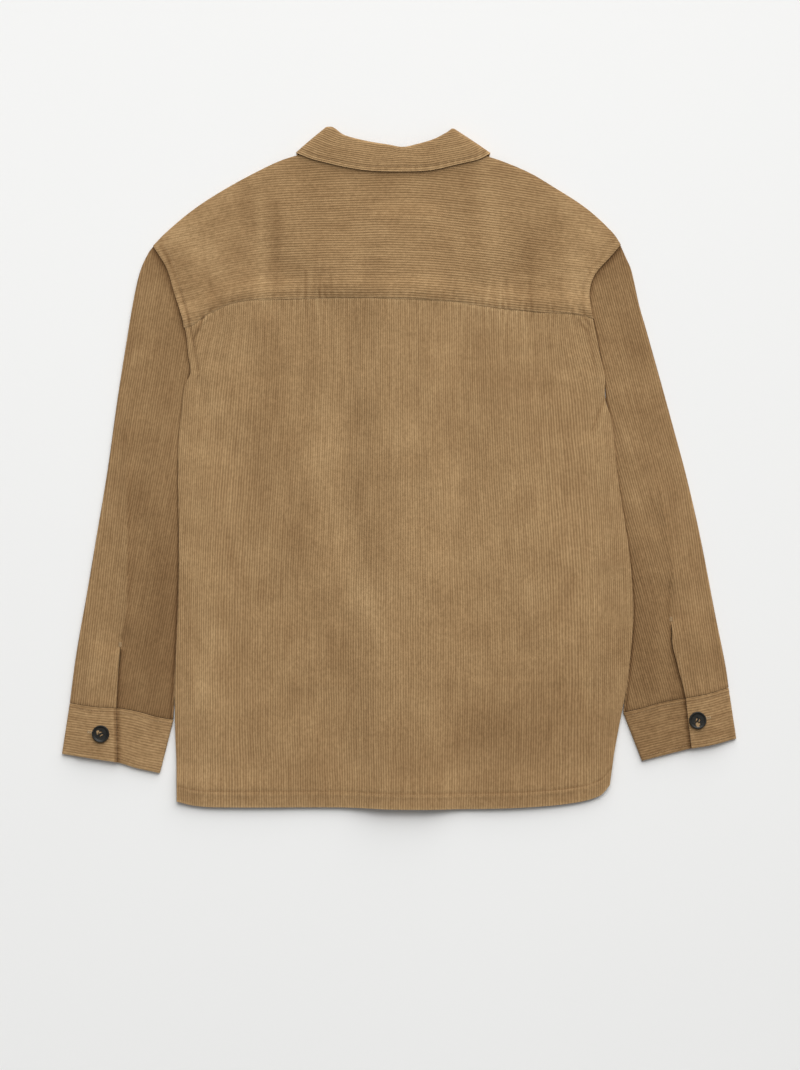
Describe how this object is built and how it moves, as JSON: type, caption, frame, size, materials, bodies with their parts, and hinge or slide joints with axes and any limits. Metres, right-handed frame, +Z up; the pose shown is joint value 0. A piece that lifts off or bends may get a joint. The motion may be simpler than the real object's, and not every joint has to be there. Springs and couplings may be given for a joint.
{
  "type": "corduroy jacket",
  "caption": "Tan corduroy overshirt laid flat on its front, with yoke, rolled collar, long sleeves, slit cuffs and dark four-hole buttons.",
  "frame": {"origin": "centre of the bottom of the bounding box, on the surface that the jacket lies on", "axes": "+X to the sleeve on the right as seen from behind, +Y to the collar, +Z up out of the jacket's back"},
  "size_m": [0.7442, 0.752, 0.015],
  "materials": {
    "corduroy_body": "tan cotton corduroy, wales along the panel, matt with a soft nap",
    "corduroy_yoke": "tan cotton corduroy, wales across the panel, matt with a soft nap",
    "horn": "dark horn-look button, softly polished"
  },
  "bodies": {
    "root": {"back_yoke": "corduroy_yoke", "back_panel": "corduroy_body", "front_left": "corduroy_body", "front_right": "corduroy_body", "front_band": "corduroy_body", "collar": "corduroy_yoke", "sleeve_left": "corduroy_body", "cuff_left": "corduroy_yoke", "sleeve_right": "corduroy_body", "cuff_right": "corduroy_yoke", "cuff_button_left": "horn", "cuff_button_right": "horn", "front_button_1": "horn", "front_button_2": "horn", "front_button_3": "horn", "front_button_4": "horn", "front_button_5": "horn", "front_button_6": "horn"}
  },
  "joints": []
}
